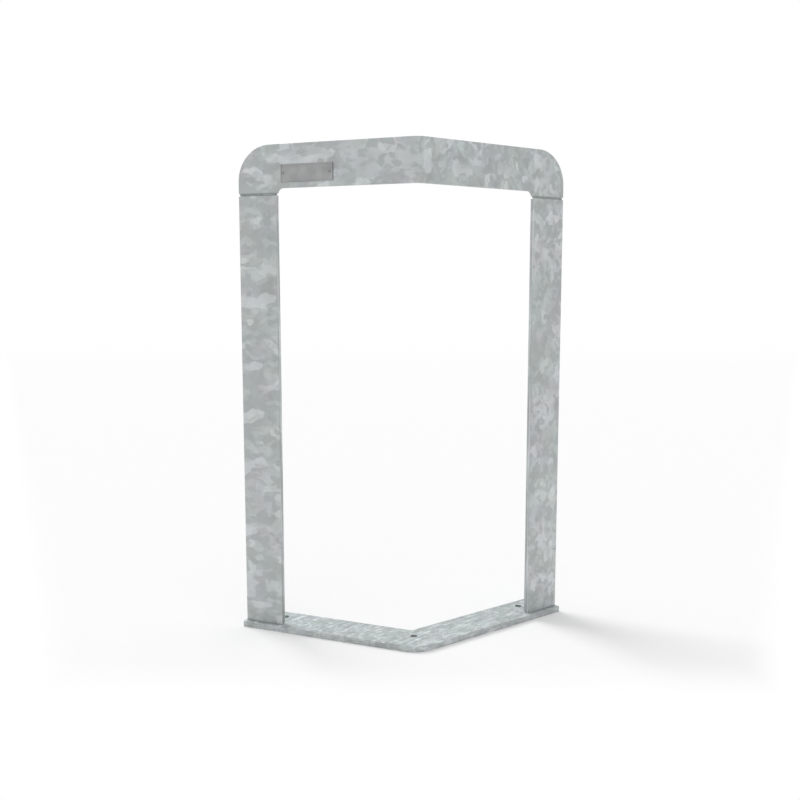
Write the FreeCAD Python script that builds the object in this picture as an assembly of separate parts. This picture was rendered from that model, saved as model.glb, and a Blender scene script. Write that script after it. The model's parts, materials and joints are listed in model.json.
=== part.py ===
import FreeCAD, Part
import math
import os

# Hoop bike rack
# A hoop of flat steel bar, bent to a V in plan and welded to a flat base plate of the same V.
# Millimetres, +Z up. The fold points along -Y and both arms run back from it, towards +Y.
# The origin is on the ground, at the middle of the rack's outline.
# Each arm is first drawn in a frame of its own: X along the arm's front face from the sharp
# corner of the fold, Y behind that face, Z up from the ground.

# Hoop
total_height = 820.0
arm_length = 321.0
fold_angle = 60.0
fold_inner_radius = 15.0
hoop_thickness = 10.0
leg_width = 70.0
top_bar_depth = 70.0
outer_corner_radius = 58.0
inner_corner_radius = 9.5
edge_radius = 0.8

# Welds: the bevel round each welded end, and how deep it stays open as a groove
top_bevel = 2.7
top_groove_depth = 1.6
foot_bevel = 1.5
foot_groove_depth = 0.8

# Base plate
base_thickness = 10.0
base_width = 70.0
base_front_margin = 8.0
base_end_margin = 3.5
base_front_radius = 45.0
base_rear_radius = 3.0
base_end_radius = 2.0
anchor_hole_diameter = 12.0
anchor_line_behind_face = 39.0
anchor_from_arm_end = 55.0

# Name plate on the left arm, held by two rivets
name_plate_width = 94.0
name_plate_height = 28.0
name_plate_thickness = 2.5
name_plate_from_arm_end = 127.5
name_plate_below_top = 47.0
name_plate_bevel = 0.6
name_plate_rim_width = 1.2
name_plate_rim_height = 0.4
rivet_from_plate_end = 4.8
rivet_shank_diameter = 2.4
rivet_grip_in_bar = 5.0
rivet_head_diameter = 4.4
rivet_head_height = 1.1

# Places that follow from the sizes above
half_fold = math.radians(fold_angle / 2)
fold_outer_radius = fold_inner_radius + hoop_thickness
underside = total_height - top_bar_depth
joint_height = underside - inner_corner_radius
leg_inner_edge = arm_length - leg_width
base_front_edge = -base_front_margin
base_rear_edge = base_width - base_front_margin
base_end = arm_length + base_end_margin
name_plate_along = arm_length - name_plate_from_arm_end
name_plate_centre_height = total_height - name_plate_below_top

ORIGIN = FreeCAD.Vector(0, 0, 0)
X_AXIS = FreeCAD.Vector(1, 0, 0)
Y_AXIS = FreeCAD.Vector(0, 1, 0)
Z_AXIS = FreeCAD.Vector(0, 0, 1)
TOUCH = 1e-6


# Helpers

def rounded_face(points, radii):
    """A flat face through the corner points, each corner rounded to its own radius."""
    edges = []
    last_end = None
    first_start = None
    for index, (corner, radius) in enumerate(zip(points, radii)):
        to_last = (points[index - 1] - corner).normalize()
        to_next = (points[(index + 1) % len(points)] - corner).normalize()
        half_corner = to_last.getAngle(to_next) / 2
        reach = radius / math.tan(half_corner)
        start = corner + to_last * reach
        end = corner + to_next * reach
        if last_end is not None and last_end.distanceToPoint(start) > TOUCH:
            edges.append(Part.LineSegment(last_end, start).toShape())
        if radius > 0:
            inward = (to_last + to_next).normalize()
            middle = corner + inward * (radius / math.sin(half_corner) - radius)
            edges.append(Part.Arc(start, middle, end).toShape())
        if first_start is None:
            first_start = start
        last_end = end
    if last_end.distanceToPoint(first_start) > TOUCH:
        edges.append(Part.LineSegment(last_end, first_start).toShape())
    return Part.Face(Part.Wire(edges))


def edges_at_height(shape, height):
    """The edges that lie flat at one height."""
    found = []
    for edge in shape.Edges:
        box = edge.BoundBox
        if abs(box.ZMin - height) < TOUCH and abs(box.ZMax - height) < TOUCH:
            found.append(edge)
    return found


def right_arm(shape):
    """Turns a shape from the arm's own frame to the right arm."""
    return shape.rotated(ORIGIN, Z_AXIS, fold_angle / 2)


def left_arm(shape):
    """The same on the left arm, mirrored."""
    return right_arm(shape).mirror(ORIGIN, X_AXIS)


def arm_point(along, behind, side):
    """A point of the ground in the rack's frame, from its place on an arm. Side is 1 or -1."""
    x = along * math.cos(half_fold) - behind * math.sin(half_fold)
    y = along * math.sin(half_fold) + behind * math.cos(half_fold)
    return FreeCAD.Vector(side * x, y, 0)


# Base plate

def origin_shift():
    """Takes the sharp corner of the fold to its place in front of the rack's middle."""
    front_corner = base_front_edge / math.cos(half_fold)
    front = front_corner + base_front_radius * (1 / math.cos(half_fold) - 1)
    end_centre = arm_point(base_end - base_end_radius, base_rear_edge - base_end_radius, 1)
    rear = end_centre.y + base_end_radius
    return FreeCAD.Vector(0, -(front + rear) / 2, 0)


def anchor_points():
    """The centres of the three anchor holes: the ends of both arms, then the fold."""
    end_along = arm_length - anchor_from_arm_end
    ends = [arm_point(end_along, anchor_line_behind_face, side) for side in (-1, 1)]
    fold = FreeCAD.Vector(0, anchor_line_behind_face / math.cos(half_fold), 0)
    return ends + [fold]


def base_plate():
    front_corner = FreeCAD.Vector(0, base_front_edge / math.cos(half_fold), 0)
    rear_corner = FreeCAD.Vector(0, base_rear_edge / math.cos(half_fold), 0)
    points = [
        front_corner,
        arm_point(base_end, base_front_edge, 1),
        arm_point(base_end, base_rear_edge, 1),
        rear_corner,
        arm_point(base_end, base_rear_edge, -1),
        arm_point(base_end, base_front_edge, -1),
    ]
    radii = [base_front_radius, base_end_radius, base_end_radius,
             base_rear_radius, base_end_radius, base_end_radius]
    plate = rounded_face(points, radii).extrude(Z_AXIS * base_thickness)
    rims = edges_at_height(plate, 0) + edges_at_height(plate, base_thickness)
    plate = plate.makeFillet(edge_radius, rims)
    for centre in anchor_points():
        hole = Part.makeCylinder(anchor_hole_diameter / 2, base_thickness, centre)
        plate = plate.cut(hole)
    return plate


# Hoop

def leg():
    """One leg in the arm's frame: flat bar, bevelled for welding at both ends."""
    length = joint_height - base_thickness
    corner = FreeCAD.Vector(leg_inner_edge, 0, base_thickness)
    bar = Part.makeBox(leg_width, hoop_thickness, length, corner)
    bar = bar.makeChamfer(top_bevel, edges_at_height(bar, joint_height))
    bar = bar.makeChamfer(foot_bevel, edges_at_height(bar, base_thickness))
    uprights = [edge for edge in bar.Edges if edge.BoundBox.ZLength > length / 2]
    return bar.makeFillet(edge_radius, uprights)


def top_bar_arm():
    """The flat stretch of one arm, with its corners and the stub that meets the leg."""
    fold_end = fold_outer_radius * math.tan(half_fold)
    corners = [
        (fold_end, total_height, 0),
        (arm_length, total_height, outer_corner_radius),
        (arm_length, joint_height, 0),
        (leg_inner_edge, joint_height, 0),
        (leg_inner_edge, underside, inner_corner_radius),
        (fold_end, underside, 0),
    ]
    points = [FreeCAD.Vector(along, 0, height) for along, height, radius in corners]
    radii = [radius for along, height, radius in corners]
    return rounded_face(points, radii).extrude(Y_AXIS * hoop_thickness)


def top_bar_fold():
    """The bent stretch between the two arms."""
    bend_axis = FreeCAD.Vector(0, fold_outer_radius / math.cos(half_fold), 0)
    outer_y = bend_axis.y - fold_outer_radius
    inner_y = bend_axis.y - fold_inner_radius
    points = [
        FreeCAD.Vector(0, outer_y, underside),
        FreeCAD.Vector(0, inner_y, underside),
        FreeCAD.Vector(0, inner_y, total_height),
        FreeCAD.Vector(0, outer_y, total_height),
    ]
    section = Part.Face(Part.makePolygon(points + points[:1]))
    section.rotate(bend_axis, Z_AXIS, -fold_angle / 2)
    return section.revolve(bend_axis, Z_AXIS, fold_angle)


def is_outline_edge(edge):
    """Whether an edge belongs to the cut outline, and not to a bevelled stub or the thickness."""
    box = edge.BoundBox
    above_bevel = box.ZMax > joint_height + top_bevel + edge_radius
    across = edge.Length < hoop_thickness + TOUCH and box.ZLength < TOUCH
    return above_bevel and not across


def top_bar():
    arm = top_bar_arm()
    bar = top_bar_fold().fuse([right_arm(arm), left_arm(arm)]).removeSplitter()
    bar = bar.makeChamfer(top_bevel, edges_at_height(bar, joint_height))
    return bar.makeFillet(edge_radius, [edge for edge in bar.Edges if is_outline_edge(edge)])


def weld_core(low, high, groove_depth):
    """The room for a weld: the leg's section less the open groove, between two heights."""
    corner = FreeCAD.Vector(leg_inner_edge + groove_depth, groove_depth, low)
    width = leg_width - 2 * groove_depth
    depth = hoop_thickness - 2 * groove_depth
    return Part.makeBox(width, depth, high - low, corner)


# Name plate

def rivet_places():
    """The rivets' places in the arm's frame, on the front face."""
    places = []
    reach = name_plate_width / 2 - rivet_from_plate_end
    for along in (name_plate_along - reach, name_plate_along + reach):
        places.append(FreeCAD.Vector(along, 0, name_plate_centre_height))
    return places


def plate_panel(margin, front, back):
    """A block of the name plate's outline, less a margin, between two depths of the arm's frame."""
    corner = FreeCAD.Vector(
        name_plate_along - name_plate_width / 2 + margin,
        front,
        name_plate_centre_height - name_plate_height / 2 + margin,
    )
    return Part.makeBox(
        name_plate_width - 2 * margin,
        back - front,
        name_plate_height - 2 * margin,
        corner,
    )


def name_plate():
    """A small bare plate with bevelled sides and a raised rim."""
    plate = plate_panel(0, -name_plate_thickness, 0)
    front_edges = [edge for edge in plate.Edges if edge.BoundBox.YMax < TOUCH - name_plate_thickness]
    plate = plate.makeChamfer(name_plate_bevel, front_edges)
    field_front = name_plate_rim_height - name_plate_thickness
    field = plate_panel(name_plate_bevel + name_plate_rim_width, -name_plate_thickness, field_front)
    plate = plate.cut(field)
    for place in rivet_places():
        hole = Part.makeCylinder(rivet_shank_diameter / 2, name_plate_thickness, place, -Y_AXIS)
        plate = plate.cut(hole)
    return plate


def rivet(place):
    """A domed rivet, seated on the name plate's field, with its shank in the top bar."""
    grip = name_plate_thickness - name_plate_rim_height
    tip = place + Y_AXIS * rivet_grip_in_bar
    shank = Part.makeCylinder(rivet_shank_diameter / 2, rivet_grip_in_bar + grip, tip, -Y_AXIS)
    head_radius = rivet_head_diameter / 2
    dome_radius = (head_radius ** 2 + rivet_head_height ** 2) / (2 * rivet_head_height)
    seat = place - Y_AXIS * grip
    dome_centre = seat + Y_AXIS * (dome_radius - rivet_head_height)
    dome = Part.makeSphere(dome_radius, dome_centre)
    head = Part.makeCylinder(head_radius, rivet_head_height, seat, -Y_AXIS).common(dome)
    return shank.fuse(head).removeSplitter()


def with_rivet_holes(bar):
    """Drills the blind holes for the rivets' shanks in the left arm."""
    for place in rivet_places():
        hole = Part.makeCylinder(rivet_shank_diameter / 2, rivet_grip_in_bar, place, Y_AXIS)
        bar = bar.cut(left_arm(hole))
    return bar


# The rack

def rack():
    """Every piece by its name, with the fold's sharp corner at x = y = 0."""
    base = base_plate()
    plain_bar = top_bar()
    plain_leg = leg()
    left_leg = left_arm(plain_leg)
    right_leg = right_arm(plain_leg)
    foot_core = weld_core(base_thickness, base_thickness + foot_bevel, foot_groove_depth)
    top_core = weld_core(joint_height - top_bevel, joint_height + top_bevel, top_groove_depth)
    return {
        "base_plate": base,
        "left_leg": left_leg,
        "right_leg": right_leg,
        "top_bar": with_rivet_holes(plain_bar),
        "left_foot_weld": left_arm(foot_core).cut(left_leg),
        "right_foot_weld": right_arm(foot_core).cut(right_leg),
        "left_top_weld": left_arm(top_core).cut([left_leg, plain_bar]),
        "right_top_weld": right_arm(top_core).cut([right_leg, plain_bar]),
        "name_plate": left_arm(name_plate()),
        "name_plate_rivets": Part.makeCompound([left_arm(rivet(place)) for place in rivet_places()]),
    }


def main():
    os.makedirs("parts", exist_ok=True)
    shift = origin_shift()
    for name, piece in rack().items():
        piece.translate(shift)
        piece.exportStep(os.path.join("parts", name + ".step"))
        box = piece.BoundBox
        print(f"{name}: {len(piece.Solids)} solids, {piece.Volume / 1000:.1f} cm3, valid {piece.isValid()}, "
              f"x {box.XMin:.2f} {box.XMax:.2f}, y {box.YMin:.2f} {box.YMax:.2f}, "
              f"z {box.ZMin:.2f} {box.ZMax:.2f}")
    for centre in anchor_points():
        print("anchor hole at", [round(value, 3) for value in centre + shift])


main()
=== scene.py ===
import json
import math
from collections import namedtuple

import bmesh
import bpy
from mathutils import Matrix, Vector, noise


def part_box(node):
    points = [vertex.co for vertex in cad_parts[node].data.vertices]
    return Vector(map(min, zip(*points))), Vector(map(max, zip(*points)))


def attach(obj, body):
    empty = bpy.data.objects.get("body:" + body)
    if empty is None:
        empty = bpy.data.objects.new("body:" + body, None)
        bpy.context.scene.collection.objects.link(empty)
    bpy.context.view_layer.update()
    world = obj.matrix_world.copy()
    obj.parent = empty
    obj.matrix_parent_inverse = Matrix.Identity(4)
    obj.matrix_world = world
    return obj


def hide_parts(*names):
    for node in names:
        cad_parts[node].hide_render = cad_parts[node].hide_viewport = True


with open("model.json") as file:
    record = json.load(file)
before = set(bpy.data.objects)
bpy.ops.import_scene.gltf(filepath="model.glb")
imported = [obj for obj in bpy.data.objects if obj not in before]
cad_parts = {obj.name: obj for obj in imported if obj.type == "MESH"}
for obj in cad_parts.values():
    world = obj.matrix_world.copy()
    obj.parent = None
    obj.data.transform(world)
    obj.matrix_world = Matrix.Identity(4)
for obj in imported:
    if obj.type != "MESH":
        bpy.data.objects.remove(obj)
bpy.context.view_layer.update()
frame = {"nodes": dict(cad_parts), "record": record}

# Hoop bike rack: the looks of a welded and hot-dip galvanised flat-bar frame.
# Metres, +Z up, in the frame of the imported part. The fold points along -Y.

nodes = frame["nodes"]
MM = 0.001
WHITE = (1, 1, 1, 1)
# The middle of a noise's colour, taken as a direction
NOISE_CENTRE = (0.5, 0.5, 0.5)

# Camera, fitted to the photograph's edges: place, turn in degrees, lens and sensor in millimetres,
# and how far it sees
CAMERA_PLACE = (-0.229122, -1.598846, 0.603890)
CAMERA_PITCH_DOWN = 7.1838
CAMERA_YAW_RIGHT = 7.6214
CAMERA_LENS = 43.442
CAMERA_SENSOR = 36.0
CAMERA_REACH = 50

# The rack's plan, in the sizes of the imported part
ARM_TURN = math.radians(30)
LEG_WIDTH = 70 * MM
BAR_THICKNESS = 10 * MM
FOLD_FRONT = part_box("top_bar")[0].y
mounts = {mount["name"]: mount for mount in frame["record"]["mounts"]}
end_anchors = mounts["end_anchors"]
fold_anchor = mounts["fold_anchor"]
END_HOLE = Vector((end_anchors["dims"]["spacing_x_mm"] / 2 * MM, end_anchors["pos_m"][1], 0))
FOLD_HOLE = Vector((0, fold_anchor["pos_m"][1], 0))
HOLE_RADIUS = fold_anchor["dims"]["r_mm"] * MM

# Light: an even white sky, and one broad soft lamp behind the rack's left side
SKY_STRENGTH = 0.735
KEY_AZIMUTH = math.radians(130)
KEY_ELEVATION = math.radians(42.7)
KEY_SPREAD = math.radians(32)
KEY_STRENGTH = 1.195
KEY_DISTANCE = 3.0
FLOOR_COLOUR = (0.981, 0.981, 0.981, 1)
FLOOR_REACH = 12.0
# The floor goes over to plain white from the first to the second distance, before and behind the rack,
# measured along the view
FADE_TURN = math.radians(-7.6)
FADE_FRONT = (-0.13, -0.29)
FADE_BACK = (2.0, 9.0)
# The same to both sides, where the grey part widens towards the back
FADE_SIDE = (0.58, 0.66)
FADE_WIDENING = 0.414

# A noise: the size of its features in metres, how many finer layers it has and how rough they are
Texture = namedtuple("Texture", "size detail rough", defaults=(1.0, 0.5))

# Zinc patches, laid over each other in this order. Size in metres, share of it across the long way,
# the noise value over which they show, their tone against the middle one, and how far fingers run out
PATCHES = (
    (0.085, 0.70, 0.500, 0.07, 0.010),
    (0.062, 0.55, 0.520, -0.08, 0.006),
    (0.070, 0.65, 0.555, 0.16, 0.012),
    (0.040, 0.50, 0.570, -0.10, 0.004),
    (0.038, 0.65, 0.605, 0.32, 0.005),
    (0.022, 0.55, 0.610, -0.09, 0.0),
    (0.020, 0.60, 0.615, 0.11, 0.0),
)
PATCH_COVER = 0.80
# Slow changes of tone under the patches and inside each layer, and how much they count
GROUND_TONES = Texture(60 * MM)
GROUND_SHARE = 0.30
LAYER_TONES = Texture(50 * MM)
LAYER_SHARE = 0.25
# How the patches are drawn out on each side and on the base: long way, through the bar, and short way
LEFT_STRETCH = (0.95, 1.0, 0.90)
RIGHT_STRETCH = (1.68, 1.15, 1.16)
BASE_STRETCH = (2.2, 1.3, 1.5)
# How the patches' long way bends from place to place, and how far
BENDS = Texture(16 * MM)
BEND_REACH = 8 * MM
# How far the border between the two sides' patches wanders from the fold, and how that changes by layer
BORDER = Texture(25 * MM)
SIDE_WANDER = 0.08
SIDE_WANDER_STEP = 0.45
# Scallops on a patch's edge: their size as a share of the patch's, and how deep they cut
SCALLOP_SIZE = 0.22
EDGE_SCALLOPS = 0.07
# Fingers that run out from a patch along its long way, and how far for each unit of a layer's push
FINGERS = Texture(9 * MM, 0.0)
FINGER_STRETCH = (0.22, 1.0, 1.0)
FINGER_REACH = 4
# How soft a patch's edge is: while the noise rises from the first value to the second, the softness
# goes from the third to the fourth
SOFT_AREAS = Texture(35 * MM)
SOFT_RISE = (0.42, 0.60, 0.011, 0.052)
# Where each piece and each layer lies in the noises
SEED_STEP = (1.37, 0.71, 2.11)
LAYER_STEP = (3.1, 1.7, 2.3)

# Crystals under the patches, and how much their surfaces lean
CRYSTAL_SIZE = 18 * MM
CRYSTAL_LEAN = 0.03
# Their streaks: how many a metre holds end to end and side by side, and how far apart in the noise
# the streaks of two crystals are taken
CRYSTAL_STREAKS = Texture(1.0, 1.0, 0.6)
STREAKS_ALONG = 120
STREAKS_ACROSS = 1020
STREAKS_APART = 37
# Long runs that the zinc left as it drained, fine grain, and broad waves in the surface
RUNS = Texture(4 * MM, 1.0, 0.55)
RUNS_STRETCH = (1.0, 1.0, 0.035)
GRAIN = Texture(0.9 * MM, 2.0, 0.6)
WAVES = Texture(14 * MM)
# How much each of them counts in the tone. The slope inside a crystal counts by the metre
CRYSTAL_SHARE = 0.10
SLOPE_SHARE = 5.0
STREAK_SHARE = 0.17
RUNS_SHARE = 0.07
GRAIN_SHARE = 0.16
CONTRAST = 1.25
MIDDLE_TONE = 0.42
# Painted shade: the zinc is darker and duller towards a foot's weld, where the base plate shades the leg:
# the heights where that is most and nothing, and by how much
FOOT_PAINTED_SHADE = (0.012, 0.060, -0.17)

# Grey of the zinc from its dullest to its brightest tone
ZINC_GREYS = ((0.0, 0.392), (0.42, 0.510), (1.0, 0.714))
# Tints laid over the grey: green or plain by area and tone, and warm or cool by area
TINT_AREAS = Texture(50 * MM)
TINT_BY_TONE = 0.25
GREEN_TINT = (0.957, 1.025, 1.015, 1)
PLAIN_TINT = (0.972, 1.005, 1.019, 1)
WARM_AREAS = Texture(35 * MM)
WARM_OFFSET = (0, 5.0, 0)
WARM_TINT = (1.006, 1.000, 0.992, 1)
COOL_TINT = (0.995, 1.000, 1.008, 1)
TINT_RISE = (0.42, 0.58)
TOP_BAR_TINT = (0.994, 1.002, 1.0, 1)
# Edges rubbed light: how far in from the edge, how much and to which colour
RUBBED_REACH = 1.6 * MM
RUBBED_SHARE = 0.22
RUBBED_COLOUR = (0.66, 0.69, 0.69, 1)
# Gloss: roughness at the dullest and the brightest tone, how much the grain changes it, and the bumps
ZINC_METALLIC = 0.72
ZINC_ROUGHNESS = (0.60, 0.44)
GRAIN_ROUGHNESS = 0.14
GRAIN_BUMP = (0.5, 0.16 * MM)
WAVE_BUMP = (0.45, 0.6 * MM)

# A leg's narrow sides look along X by the second value or more, and its broad faces by less than the
# first. The narrow sides have long streaks from rolling
NARROW_SIDE = (0.65, 0.75)
ROLLED_STREAKS = Texture(2.6 * MM, 1.0, 0.6)
ROLLED_STRETCH = (1.0, 1.0, 0.02)
ROLLED_SHARE = 2.2
# What is left of the patches there and on the base plate's cut faces
CALM_SHARE = 0.45

# The base plate's rolled face: fine streaks, stronger in some areas, and light ones among them. All lie
# one way in plan. The two rises give a strength from a noise, in the same form as a patch's softness
FEATHER_TURN = math.radians(40)
FEATHER_STRETCH = (0.10, 1.0, 1.0)
FEATHERS = Texture(3.6 * MM, 1.7)
FEATHER_SHARE = 1.4
FEATHER_GROUPS = Texture(30 * MM)
GROUP_RISE = (0.40, 0.60, 0.30, 1.10)
LIGHT_FEATHERS = Texture(4.6 * MM)
LIGHT_RISE = (0.56, 0.72, -0.02, 0.30)
# Its cut faces, which stand upright: paler, with a slow change of tone and long streaks
CUT_LIFT = 0.095
CUT_TONES = Texture(48 * MM)
CUT_TONE_SHARE = 1.1
CUT_STREAKS = Texture(4.2 * MM)
CUT_STRETCH = (0.16, 0.16, 1.0)
CUT_STREAK_SHARE = 0.8
# Round its holes: a light rim, and painted shade with dirt on the hole's wall and edge, each from its full
# strength to nothing past the hole
RIM_REACH = (0.9 * MM, 3.0 * MM)
RIM_LIGHT = 0.13
HOLE_SHADE_AND_DIRT_REACH = (0.2 * MM, 1.2 * MM)
HOLE_SHADE_AND_DIRT_SHARE = 0.24
HOLE_SHADE_AND_DIRT_COLOUR = (0.14, 0.14, 0.13, 1)
# The base plate is greener where it lies flat, and rougher all over
BASE_GREEN = (0.80, 1.0, 1.0, 1)
BASE_GREEN_SHARE = 0.10
BASE_ROUGHENING = 0.18

# The other metals: their noises, their colours from dark to light, and how metallic they are
WELD_MOTTLE = Texture(6 * MM, 3.0, 0.6)
WELD_GRAIN = Texture(0.7 * MM, 2.0, 0.6)
WELD_COLOURS = ((0.3, (0.28, 0.30, 0.30)), (0.55, (0.385, 0.41, 0.41)), (0.8, (0.50, 0.53, 0.53)))
WELD_METALLIC = 0.6
SMALL_PLATE_CLOUD = Texture(20 * MM, 3.0, 0.55)
SMALL_PLATE_SAND = Texture(1.0 * MM, 3.0, 0.65)
SMALL_PLATE_COLOURS = (
    (0.3, (0.315, 0.321, 0.321)),
    (0.5, (0.378, 0.386, 0.385)),
    (0.7, (0.450, 0.458, 0.456)),
)
SMALL_PLATE_METALLIC = 0.65
RIVET_GRAIN = Texture(0.22 * MM, 2.0, 0.6)
RIVET_DENTS = Texture(1.2 * MM)
RIVET_COLOURS = ((0.3, (0.23, 0.235, 0.235)), (0.7, (0.33, 0.335, 0.335)))
RIVET_METALLIC = 0.8
# Their roughness, which a noise gives in the same form as a patch's softness
WELD_ROUGHNESS = (0.2, 0.8, 0.5, 0.72)
SMALL_PLATE_ROUGHNESS = (0.3, 0.7, 0.46, 0.64)
RIVET_ROUGHNESS = (0.2, 0.8, 0.38, 0.52)
# Their bumps: strength, and height
WELD_BUMP = (0.6, 0.2 * MM)
SMALL_PLATE_BUMP = (0.6, 0.25 * MM)
RIVET_BUMP = (0.3, 0.1 * MM)
# The small plate's rim is rubbed light, and painted shade darkens its corners: reach, and what light is
# left there
RIM_RUBBED_REACH = 1.0 * MM
RIM_RUBBED_SHARE = 0.45
RIM_RUBBED_COLOUR = (0.60, 0.61, 0.60, 1)
CORNER_SHADE_REACH = 4 * MM
CORNER_SHADE_DARKEST = 0.40
# Where two noises are laid together, how much the first counts
MAIN_SHARE = 0.7
# How alike the plain and the rounded surface face, from no edge to a sharp one
EDGE_LIKENESS = (0.98, 0.75)
EDGE_SAMPLES = 6
# For the painted corner shade: how open a place is, from deep in a corner to clear of it
CORNER_OPENNESS = (0.25, 0.75)
CORNER_SAMPLES = 8

# The line that a bead's rows are set off from: how far it lies inside the bar's faces, the radius of
# its corners, how far apart its points are, and how many more it has round each corner
BEAD_INSET = 1.5 * MM
BEAD_CORNER = 1.2 * MM
BEAD_STEP = 0.45 * MM
CORNER_POINTS = 3
# Ripples along the bead: length, depth, the share of it that lies under the bead's own surface, and
# by how much of their length they bend back at its edges, like crescents
RIPPLE = 2.3 * MM
RIPPLE_DEPTH = 0.16 * MM
RIPPLE_MIDDLE = 0.6
CRESCENT = 0.35
# Fine lumps, and how far apart in the noise the two legs take theirs
LUMP_SIZE = 3 * MM
LUMP_HEIGHT = 0.08 * MM
LUMP_SEED_STEP = 10.0
# Rows of a bead from its foot to its top, in millimetres: height, and depth behind the bar's faces
UPPER_ROWS = ((0.0, 1.36), (0.4, 1.42), (0.8, 1.62), (1.2, 2.1), (1.7, 2.9))
TOP_BEAD = tuple((-height, depth) for height, depth in reversed(UPPER_ROWS[1:])) + UPPER_ROWS
FOOT_BEAD = ((0.0, 0.50), (0.2, 0.54), (0.4, 0.64), (0.6, 0.80), (0.9, 1.1), (1.2, 1.5))


# Shader helpers

class Shader:
    """Short ways to add and join the nodes of one material, or of the world."""

    def __init__(self, owner):
        owner.use_nodes = True
        self.owner = owner
        self.tree = owner.node_tree
        self.tree.nodes.clear()

    def add(self, kind, inputs=None, **settings):
        node = self.tree.nodes.new("ShaderNode" + kind)
        for key, value in settings.items():
            setattr(node, key, value)
        for key, value in (inputs or {}).items():
            self.feed(node.inputs[key], value)
        return node

    def feed(self, socket, value):
        if isinstance(value, bpy.types.NodeSocket):
            self.tree.links.new(value, socket)
        else:
            socket.default_value = value

    def place(self):
        return self.add("TexCoord").outputs["Object"]

    def normal(self):
        return self.add("NewGeometry").outputs["Normal"]

    def parts(self, vector):
        return self.add("SeparateXYZ", {"Vector": vector}).outputs[:3]

    def joined(self, first=0.0, second=0.0, third=0.0):
        return self.add("CombineXYZ", {0: first, 1: second, 2: third}).outputs[0]

    def turned(self, vector, angle):
        """The vector, turned about +Z."""
        node = self.add("VectorRotate", {"Vector": vector, "Angle": angle}, rotation_type="Z_AXIS")
        return node.outputs["Vector"]

    def vector(self, operation, first, second=(0, 0, 0)):
        node = self.add("VectorMath", {0: first, 1: second}, operation=operation)
        return node.outputs["Value" if operation in ("DOT_PRODUCT", "DISTANCE") else "Vector"]

    def scaled(self, vector, factor):
        return self.add("VectorMath", {0: vector, "Scale": factor}, operation="SCALE").outputs["Vector"]

    def math(self, operation, first, second=0.0, clamp=False):
        return self.add("Math", {0: first, 1: second}, operation=operation, use_clamp=clamp).outputs[0]

    def product_sum(self, value, factor, base):
        return self.add("Math", {0: value, 1: factor, 2: base}, operation="MULTIPLY_ADD").outputs[0]

    def total(self, values):
        result = values[0]
        for value in values[1:]:
            result = self.math("ADD", result, value)
        return result

    def centred(self, value, factor):
        """A value around 0.5, moved to 0 and scaled."""
        return self.product_sum(value, factor, -factor / 2)

    def remap(self, value, low, high, to_low=0.0, to_high=1.0, smooth=False):
        kind = "SMOOTHSTEP" if smooth else "LINEAR"
        inputs = {"Value": value, "From Min": low, "From Max": high, "To Min": to_low, "To Max": to_high}
        return self.add("MapRange", inputs, interpolation_type=kind).outputs["Result"]

    def noise(self, place, texture, output="Fac"):
        size, detail, rough = texture
        inputs = {"Vector": place, "Scale": 1 / size, "Detail": detail, "Roughness": rough}
        return self.add("TexNoise", inputs).outputs[output]

    # A Mix node has its two numbers at sockets 2 and 3, its vectors at 4 and 5 and its colours at 6 and 7

    def blend(self, factor, first, second):
        """From the first number to the second."""
        return self.add("Mix", {"Factor": factor, 2: first, 3: second}, data_type="FLOAT").outputs[0]

    def blend_vectors(self, factor, first, second):
        """From the first vector to the second."""
        return self.add("Mix", {"Factor": factor, 4: first, 5: second}, data_type="VECTOR").outputs[1]

    def mix(self, factor, first, second, blend="MIX"):
        """From the first colour to the second."""
        inputs = {"Factor": factor, 6: first, 7: second}
        return self.add("Mix", inputs, data_type="RGBA", blend_type=blend).outputs[2]

    def tinted(self, colour, tint, factor=1.0):
        return self.mix(factor, colour, tint, "MULTIPLY")

    def ramp(self, value, stops):
        node = self.add("ValToRGB", {"Fac": value})
        elements = node.color_ramp.elements
        while len(elements) < len(stops):
            elements.new(0.5)
        for element, (position, colour) in zip(elements, stops):
            element.position = position
            element.color = (*colour, 1)
        return node.outputs["Color"]

    def bump(self, height, strength, distance, normal=None):
        inputs = {"Strength": strength, "Distance": distance, "Height": height}
        if normal:
            inputs["Normal"] = normal
        return self.add("Bump", inputs).outputs["Normal"]

    def metal(self, colour, metallic, rough, normal):
        """Ends the material as a metal."""
        inputs = {"Base Color": colour, "Metallic": metallic, "Roughness": rough, "Normal": normal}
        return self.finish(self.add("BsdfPrincipled", inputs).outputs["BSDF"])

    def finish(self, surface, output="OutputMaterial"):
        self.feed(self.add(output).inputs["Surface"], surface)
        return self.owner


def new_material(name):
    return Shader(bpy.data.materials.new(name))


def arm_place(shader):
    """The place in its arm's own axes, in metres: from the fold along the arm, through it and up."""
    across, back, up = shader.parts(shader.place())
    along = shader.math("DIVIDE", across, math.cos(ARM_TURN))
    away = shader.math("MULTIPLY", shader.math("ABSOLUTE", across), math.tan(ARM_TURN))
    behind = shader.math("SUBTRACT", shader.math("SUBTRACT", back, FOLD_FRONT), away)
    through = shader.math("MULTIPLY", behind, math.cos(ARM_TURN))
    return shader.joined(along, through, up)


def edge_mask(shader, radius):
    """1 on sharp outer and inner edges, 0 on flat faces."""
    soft = shader.add("Bevel", {"Radius": radius}, samples=EDGE_SAMPLES).outputs["Normal"]
    likeness = shader.vector("DOT_PRODUCT", soft, shader.normal())
    return shader.remap(likeness, *EDGE_LIKENESS)


def with_painted_corner_shade(shader, colour):
    """The colour with painted shade: darkened in corners and grooves, where shade falls."""
    around = shader.add("AmbientOcclusion", {"Distance": CORNER_SHADE_REACH}, samples=CORNER_SAMPLES)
    unshaded = shader.remap(around.outputs["AO"], *CORNER_OPENNESS, CORNER_SHADE_DARKEST, 1.0)
    return shader.tinted(colour, shader.joined(unshaded, unshaded, unshaded))


# Zinc: its crystals

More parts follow.
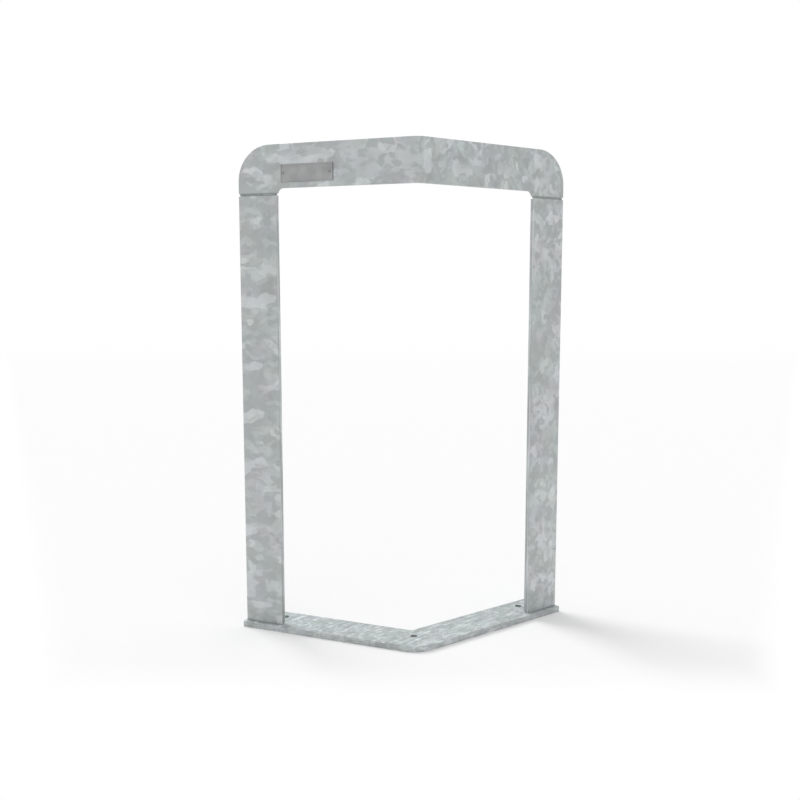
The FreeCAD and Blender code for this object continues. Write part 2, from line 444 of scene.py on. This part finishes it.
def crystals(shader, place):
    """A random tone, a slope of the tone, fine streaks and a lean of the surface in each crystal."""
    cell = shader.add("TexVoronoi", {"Vector": place, "Scale": 1 / CRYSTAL_SIZE})
    colour = cell.outputs["Color"]
    lean = shader.vector("SUBTRACT", colour, NOISE_CENTRE)
    inside = shader.vector("SUBTRACT", place, cell.outputs["Position"])
    slope = shader.vector("DOT_PRODUCT", inside, lean)
    across = shader.vector("NORMALIZE", lean)
    offset = shader.vector("DOT_PRODUCT", inside, across)
    crosswise = shader.scaled(across, shader.math("MULTIPLY", offset, STREAKS_ACROSS - STREAKS_ALONG))
    streak_place = shader.vector("ADD", crosswise, shader.scaled(inside, STREAKS_ALONG))
    streak_place = shader.vector("ADD", streak_place, shader.scaled(colour, STREAKS_APART))
    streaks = shader.noise(streak_place, CRYSTAL_STREAKS)
    tone = shader.add("SeparateColor", {"Color": colour}).outputs["Red"]
    return tone, slope, streaks, lean


# Zinc: its patches

def patch_ways(shader, place, flat):
    """The place with the patches' long way first, as it is on the left side and on the right.
    The base plate has only one way."""
    bend = shader.vector("SUBTRACT", shader.noise(place, BENDS, "Color"), NOISE_CENTRE)
    bent = shader.vector("ADD", place, shader.scaled(bend, BEND_REACH))
    if flat:
        return shader.vector("MULTIPLY", bent, BASE_STRETCH), None
    along, through, up = shader.parts(bent)
    right = shader.joined(up, through, along)
    return shader.vector("MULTIPLY", bent, LEFT_STRETCH), shader.vector("MULTIPLY", right, RIGHT_STRETCH)


def side_way(shader, left, right, along, wander, layer):
    """The left side's way up to a border that wanders near the fold, and the right side's past it."""
    drift = SIDE_WANDER * (1 - SIDE_WANDER_STEP * layer)
    border = shader.product_sum(wander, drift, along)
    right_side = shader.math("GREATER_THAN", border, drift / 2)
    return shader.blend_vectors(right_side, left, right)


def fingered(shader, way, push):
    """The place, shifted to and fro along the long way, so that edges run out in fingers."""
    comb = shader.vector("MULTIPLY", way, FINGER_STRETCH)
    reach = shader.centred(shader.noise(comb, FINGERS), FINGER_REACH * push)
    return shader.vector("ADD", way, shader.joined(reach))


def patch_cover(shader, way, size, short, threshold, softness):
    """Where one layer's patches show, with scallops on their edges."""
    field = shader.noise(shader.vector("MULTIPLY", way, (short, 1.0, 1.0)), Texture(size * short, 0.0))
    scallops = shader.noise(way, Texture(size * SCALLOP_SIZE, 0.0))
    field = shader.product_sum(scallops, EDGE_SCALLOPS, field)
    middle = threshold + EDGE_SCALLOPS / 2
    low = shader.math("SUBTRACT", middle, softness)
    high = shader.math("ADD", middle, softness)
    return shader.remap(field, low, high, 0.0, PATCH_COVER, smooth=True)


def patches(shader, seed, scale, flat):
    """Tones of flat zinc patches laid over each other, some crisp at the edge and some soft."""
    place = shader.scaled(shader.place() if flat else arm_place(shader), scale)
    left, right = patch_ways(shader, place, flat)
    along = shader.parts(place)[0]
    wander = shader.noise(place, BORDER)
    softness = shader.remap(shader.noise(place, SOFT_AREAS), *SOFT_RISE)
    tone = shader.centred(shader.noise(place, GROUND_TONES), GROUND_SHARE)
    for layer, (size, short, threshold, shift, push) in enumerate(PATCHES):
        way = left if flat else side_way(shader, left, right, along, wander, layer)
        offset = tuple(seed * piece + layer * step for piece, step in zip(SEED_STEP, LAYER_STEP))
        way = shader.vector("ADD", way, offset)
        if push:
            way = fingered(shader, way, push)
        cover = patch_cover(shader, way, size, short, threshold, softness)
        level = shader.product_sum(shader.noise(way, LAYER_TONES), LAYER_SHARE, shift - LAYER_SHARE / 2)
        tone = shader.blend(cover, tone, level)
    return tone


# Zinc: what differs on rolled bars and on the base plate

def rolled_sides(shader, place, spread):
    """The tone, with the long streaks that rolling leaves on a flat bar's narrow sides."""
    narrow = shader.remap(shader.math("ABSOLUTE", shader.parts(shader.normal())[0]), *NARROW_SIDE)
    streaks = shader.noise(shader.vector("MULTIPLY", place, ROLLED_STRETCH), ROLLED_STREAKS)
    calm = shader.product_sum(spread, CALM_SHARE, shader.centred(streaks, ROLLED_SHARE))
    return shader.blend(narrow, spread, calm)


def feathers(shader, place):
    """Fine streaks that lie one way over a plate's rolled face, in groups, and light ones among them."""
    drawn = shader.vector("MULTIPLY", shader.turned(place, -FEATHER_TURN), FEATHER_STRETCH)
    groups = shader.remap(shader.noise(place, FEATHER_GROUPS), *GROUP_RISE)
    fine = shader.math("MULTIPLY", shader.centred(shader.noise(drawn, FEATHERS), 1.0), groups)
    return shader.math("ADD", fine, shader.remap(shader.noise(drawn, LIGHT_FEATHERS), *LIGHT_RISE))


def cut_faces(shader, place, spread, flatness):
    """The tone, with calm long streaks on a plate's cut faces, which stand upright."""
    streaks = shader.noise(shader.vector("MULTIPLY", place, CUT_STRETCH), CUT_STREAKS)
    calm = shader.total((
        shader.product_sum(spread, CALM_SHARE, CUT_LIFT),
        shader.centred(shader.noise(place, CUT_TONES), CUT_TONE_SHARE),
        shader.centred(streaks, CUT_STREAK_SHARE),
    ))
    return shader.blend(flatness, calm, spread)


def past_holes(shader, place):
    """How far a place of the base plate is outside the nearest anchor hole."""
    flat_place = shader.vector("MULTIPLY", place, (1.0, 1.0, 0.0))
    to_end = shader.vector("DISTANCE", shader.vector("ABSOLUTE", flat_place), END_HOLE)
    to_fold = shader.vector("DISTANCE", flat_place, FOLD_HOLE)
    return shader.math("SUBTRACT", shader.math("MINIMUM", to_end, to_fold), HOLE_RADIUS)


def base_tone(shader, true_place, own_place, spread, flatness, past_hole):
    """The base plate's tone: fine streaks on top, calm cut faces and a light rim round each hole."""
    spread = shader.product_sum(feathers(shader, true_place), FEATHER_SHARE, spread)
    spread = cut_faces(shader, own_place, spread, flatness)
    rim = shader.remap(past_hole, *RIM_REACH, RIM_LIGHT, 0.0, smooth=True)
    return shader.math("ADD", spread, rim)


# Zinc: the whole material

def zinc_colour(shader, tone, place):
    """The zinc's grey for each tone, greener in some areas and warmer in others."""
    grey = shader.ramp(tone, [(position, (value, value, value)) for position, value in ZINC_GREYS])
    plain = shader.math("ADD", shader.noise(place, TINT_AREAS), shader.centred(tone, TINT_BY_TONE))
    tint = shader.mix(shader.remap(plain, *TINT_RISE), GREEN_TINT, PLAIN_TINT)
    cool = shader.noise(shader.vector("ADD", place, WARM_OFFSET), WARM_AREAS)
    second_tint = shader.mix(shader.remap(cool, *TINT_RISE), WARM_TINT, COOL_TINT)
    return shader.tinted(shader.tinted(grey, tint), second_tint)


def zinc_surface(shader, grain, waves, lean):
    """The way the surface faces: crystals lean a little, with fine grain and broad waves."""
    tilted = shader.vector("ADD", shader.normal(), shader.scaled(lean, CRYSTAL_LEAN))
    fine = shader.bump(grain, *GRAIN_BUMP, shader.vector("NORMALIZE", tilted))
    return shader.bump(waves, *WAVE_BUMP, fine)


def galvanised(name, seed, scale=1.0, contrast=CONTRAST, middle=MIDDLE_TONE, own_tint=None,
               rolled=False, flat=False):
    """Hot-dip zinc on a bar or, where flat, on the base plate. Patches lie over faint crystals and
    fine grain, and edges are rubbed light. Rolled bars have streaks on their narrow sides."""
    shader = new_material(name)
    true_place = shader.place()
    own_offset = (seed * SEED_STEP[0], 0, seed * SEED_STEP[2])
    own_place = shader.vector("ADD", shader.scaled(true_place, scale), own_offset)
    crystal, slope, streaks, lean = crystals(shader, own_place)
    runs = shader.noise(shader.vector("MULTIPLY", true_place, RUNS_STRETCH), RUNS)
    grain = shader.noise(true_place, GRAIN)
    spread = shader.total((
        patches(shader, seed, scale, flat),
        shader.centred(crystal, CRYSTAL_SHARE),
        shader.math("MULTIPLY", slope, SLOPE_SHARE),
        shader.centred(streaks, STREAK_SHARE),
        shader.centred(runs, RUNS_SHARE),
        shader.centred(grain, GRAIN_SHARE),
    ))
    spread = shader.math("MULTIPLY", spread, contrast)
    if flat:
        flatness = shader.math("ABSOLUTE", shader.parts(shader.normal())[2])
        past_hole = past_holes(shader, true_place)
        spread = base_tone(shader, true_place, own_place, spread, flatness, past_hole)
    if rolled:
        spread = rolled_sides(shader, true_place, spread)
    if not flat:
        height = shader.parts(true_place)[2]
        # Painted shade: the tone is darker towards the feet, where the base plate shades the legs
        spread = shader.math("ADD", spread, shader.remap(height, *FOOT_PAINTED_SHADE, 0.0))
    tone = shader.math("ADD", spread, middle, clamp=True)

    colour = zinc_colour(shader, tone, own_place)
    if own_tint:
        colour = shader.tinted(colour, own_tint)
    if flat:
        colour = shader.tinted(colour, BASE_GREEN, shader.math("MULTIPLY", flatness, BASE_GREEN_SHARE))
    rubbed = shader.math("MULTIPLY", edge_mask(shader, RUBBED_REACH), RUBBED_SHARE)
    colour = shader.mix(rubbed, colour, RUBBED_COLOUR)
    if flat:
        # Painted shade with dirt: each hole's wall and edge are darkened
        hole_shade_and_dirt = shader.remap(past_hole, *HOLE_SHADE_AND_DIRT_REACH, HOLE_SHADE_AND_DIRT_SHARE, 0.0, smooth=True)
        colour = shader.mix(hole_shade_and_dirt, colour, HOLE_SHADE_AND_DIRT_COLOUR)

    extra = BASE_ROUGHENING if flat else 0.0
    dull, bright = ZINC_ROUGHNESS
    rough = shader.remap(tone, 0.0, 1.0, dull + extra, bright + extra)
    rough = shader.math("ADD", rough, shader.centred(grain, GRAIN_ROUGHNESS))
    normal = zinc_surface(shader, grain, shader.noise(true_place, WAVES), lean)
    return shader.metal(colour, ZINC_METALLIC, rough, normal)


# The other metals

def weighed(shader, first, second):
    """Two noises laid together, where the first counts more."""
    return shader.product_sum(first, MAIN_SHARE, shader.math("MULTIPLY", second, 1 - MAIN_SHARE))


def weld_metal(name):
    """A galvanised weld bead: darker and duller than the bar, with a rough skin."""
    shader = new_material(name)
    colour = shader.ramp(shader.noise(shader.place(), WELD_MOTTLE), WELD_COLOURS)
    grain = shader.noise(shader.place(), WELD_GRAIN)
    rough = shader.remap(grain, *WELD_ROUGHNESS)
    return shader.metal(colour, WELD_METALLIC, rough, shader.bump(grain, *WELD_BUMP))


def cast_plate(name):
    """The small plate: matte cast metal with a sandy grain, worn light on its rim."""
    shader = new_material(name)
    place = arm_place(shader)
    sand = shader.noise(place, SMALL_PLATE_SAND)
    tone = weighed(shader, shader.noise(place, SMALL_PLATE_CLOUD), sand)
    rubbed = shader.math("MULTIPLY", edge_mask(shader, RIM_RUBBED_REACH), RIM_RUBBED_SHARE)
    colour = shader.mix(rubbed, shader.ramp(tone, SMALL_PLATE_COLOURS), RIM_RUBBED_COLOUR)
    rough = shader.remap(sand, *SMALL_PLATE_ROUGHNESS)
    bump = shader.bump(sand, *SMALL_PLATE_BUMP)
    # The plate's colour gets painted shade in its corners and along the gap round its edge
    return shader.metal(with_painted_corner_shade(shader, colour), SMALL_PLATE_METALLIC, rough, bump)


def rivet_metal(name):
    """The rivets: plain aluminium, turned dull, with a fine even grain and small dents."""
    shader = new_material(name)
    place = shader.place()
    grain = shader.noise(place, RIVET_GRAIN)
    tone = weighed(shader, grain, shader.noise(place, RIVET_DENTS))
    colour = shader.ramp(tone, RIVET_COLOURS)
    rough = shader.remap(grain, *RIVET_ROUGHNESS)
    return shader.metal(colour, RIVET_METALLIC, rough, shader.bump(tone, *RIVET_BUMP))


def dress(node_name, material):
    """Gives a CAD node one material."""
    mesh = nodes[node_name].data
    mesh.materials.clear()
    mesh.materials.append(material)


def dress_rack():
    """Zinc on the four steel pieces, each from its own place in the pattern, and the small plate."""
    dress("base_plate", galvanised("zinc_base", seed=15.0, scale=1.5, contrast=1.2, middle=0.33, flat=True))
    dress("left_leg", galvanised("zinc_left_leg", seed=1.0, middle=0.395, rolled=True))
    dress("right_leg", galvanised("zinc_right_leg", seed=3.0, rolled=True))
    dress("top_bar", galvanised("zinc_top_bar", seed=2.0, middle=0.44, own_tint=TOP_BAR_TINT))
    dress("name_plate", cast_plate("cast_plate"))
    dress("name_plate_rivets", rivet_metal("rivet_metal"))


# Weld beads

def heading(degrees):
    """A step of one in plan, in this direction."""
    angle = math.radians(degrees)
    return Vector((math.cos(angle), math.sin(angle)))


def bead_path():
    """Points round the bar's section, inset from its faces, and the way out at each."""
    half_width = LEG_WIDTH / 2 - BEAD_INSET
    half_depth = BAR_THICKNESS / 2 - BEAD_INSET
    path = []
    for facing, reach, half_run in ((0, half_width, half_depth), (90, half_depth, half_width),
                                    (180, half_width, half_depth), (270, half_depth, half_width)):
        out = heading(facing)
        straight = heading(facing + 90) * (half_run - BEAD_CORNER)
        first = out * reach - straight
        last = out * reach + straight
        steps = round((last - first).length / BEAD_STEP)
        path += [(first.lerp(last, step / steps), out) for step in range(steps + 1)]
        centre = last - out * BEAD_CORNER
        for point in range(1, CORNER_POINTS + 1):
            way = heading(facing + 90 * point / (CORNER_POINTS + 1))
            path.append((centre + way * BEAD_CORNER, way))
    return path


def bead_row(path, height, depth, edge_height, seed):
    """One row round the bead, in its own axes, with the ripples that a welder leaves."""
    points = []
    travelled = 0.0
    last = path[0][0]
    for point, out in path:
        travelled += (point - last).length
        last = point
        phase = travelled / RIPPLE + CRESCENT * (height / edge_height) ** 2
        ripple = RIPPLE_DEPTH * (abs(math.sin(math.pi * phase)) - RIPPLE_MIDDLE)
        lump = LUMP_HEIGHT * noise.noise(Vector((travelled / LUMP_SIZE, height, seed)))
        place = point + out * (BEAD_INSET - depth * MM + ripple + lump)
        points.append(Vector((place.x, place.y, height * MM)))
    return points


def weld_bead(name, rows, centre, turn, seed):
    """A closed bead round a leg's end."""
    path = bead_path()
    edge_height = rows[-1][0]
    spin = Matrix.Rotation(turn, 3, "Z")
    grid = bmesh.new()
    rings = []
    for height, depth in rows:
        points = bead_row(path, height, depth, edge_height, seed)
        rings.append([grid.verts.new(spin @ point + centre) for point in points])
    for low, high in zip(rings, rings[1:]):
        for index in range(len(path)):
            after = (index + 1) % len(path)
            grid.faces.new((low[index], low[after], high[after], high[index]))
    grid.faces.new(list(reversed(rings[0])))
    grid.faces.new(rings[-1])
    mesh = bpy.data.meshes.new(name)
    grid.to_mesh(mesh)
    grid.free()
    for polygon in mesh.polygons:
        polygon.use_smooth = len(polygon.vertices) == 4
    bead = bpy.data.objects.new(name, mesh)
    bpy.context.scene.collection.objects.link(bead)
    return bead


def add_welds():
    """A bead at both ends of each leg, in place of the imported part's plain weld."""
    metal = weld_metal("weld_metal")
    for number, (side, turn) in enumerate((("left", -ARM_TURN), ("right", ARM_TURN))):
        low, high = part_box(side + "_leg")
        middle = (low + high) / 2
        for place, rows, height in (("top", TOP_BEAD, high.z), ("foot", FOOT_BEAD, low.z)):
            centre = Vector((middle.x, middle.y, height))
            seed = number * LUMP_SEED_STEP + height
            bead = weld_bead(side + "_" + place + "_bead", rows, centre, turn, seed)
            bead.data.materials.append(metal)
            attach(bead, "root")
            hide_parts(side + "_" + place + "_weld")


# Stage

def seen_directly(shader):
    """1 where the camera, a reflection or clear glass looks, 0 for the light that surfaces give on."""
    path = shader.add("LightPath").outputs
    seen = shader.math("ADD", path["Is Camera Ray"], path["Is Glossy Ray"])
    return shader.math("ADD", seen, path["Is Transmission Ray"], clamp=True)


def floor_material():
    """Pale floor that takes the shadow, and goes over to plain white away from the rack."""
    shader = new_material("pale_floor")
    lit = shader.add("BsdfDiffuse", {"Color": FLOOR_COLOUR}).outputs["BSDF"]
    white = shader.add("Emission", {"Color": WHITE, "Strength": 1.0}).outputs["Emission"]
    across, back, _ = shader.parts(shader.turned(shader.place(), -FADE_TURN))
    front = shader.remap(back, *FADE_FRONT, smooth=True)
    behind = shader.remap(back, *FADE_BACK, smooth=True)
    widening = shader.math("MULTIPLY", back, FADE_WIDENING)
    beside = shader.math("SUBTRACT", shader.math("ABSOLUTE", across), widening)
    beside = shader.remap(beside, *FADE_SIDE, smooth=True)
    away = shader.math("MAXIMUM", shader.math("MAXIMUM", front, behind), beside)
    factor = shader.math("MULTIPLY", away, seen_directly(shader))
    return shader.finish(shader.add("MixShader", {"Fac": factor, 1: lit, 2: white}).outputs["Shader"])


def floor():
    mesh = bpy.data.meshes.new("floor")
    corners = ((-1, -1), (1, -1), (1, 1), (-1, 1))
    mesh.from_pydata([(x * FLOOR_REACH, y * FLOOR_REACH, 0) for x, y in corners], [], [(0, 1, 2, 3)])
    mesh.materials.append(floor_material())
    plane = bpy.data.objects.new("floor", mesh)
    bpy.context.scene.collection.objects.link(plane)


def sky():
    """Even white surroundings: plain white where seen, a little lower as a light."""
    world = bpy.data.worlds.new("studio")
    bpy.context.scene.world = world
    shader = Shader(world)
    strength = shader.remap(seen_directly(shader), 0.0, 1.0, SKY_STRENGTH, 1.0)
    background = shader.add("Background", {"Color": WHITE, "Strength": strength})
    shader.finish(background.outputs["Background"], "OutputWorld")


def key_light():
    """One broad lamp far off behind the rack's left side, as its soft shadows show."""
    light = bpy.data.lights.new("key_light", "SUN")
    light.energy = KEY_STRENGTH
    light.angle = KEY_SPREAD
    lamp = bpy.data.objects.new("key_light", light)
    bpy.context.scene.collection.objects.link(lamp)
    level = math.cos(KEY_ELEVATION)
    across = level * math.cos(KEY_AZIMUTH)
    back = level * math.sin(KEY_AZIMUTH)
    source = Vector((across, back, math.sin(KEY_ELEVATION)))
    lamp.location = source * KEY_DISTANCE
    lamp.rotation_euler = (-source).to_track_quat("-Z", "Y").to_euler()


def camera():
    data = bpy.data.cameras.new("camera")
    data.lens = CAMERA_LENS
    data.sensor_width = CAMERA_SENSOR
    data.clip_end = CAMERA_REACH
    view = bpy.data.objects.new("camera", data)
    bpy.context.scene.collection.objects.link(view)
    view.location = CAMERA_PLACE
    level_turn = math.radians(90 - CAMERA_PITCH_DOWN)
    view.rotation_euler = (level_turn, 0, math.radians(-CAMERA_YAW_RIGHT))
    bpy.context.scene.camera = view


def main():
    bpy.context.scene.view_settings.view_transform = "Standard"
    dress_rack()
    add_welds()
    floor()
    sky()
    key_light()
    camera()


main()
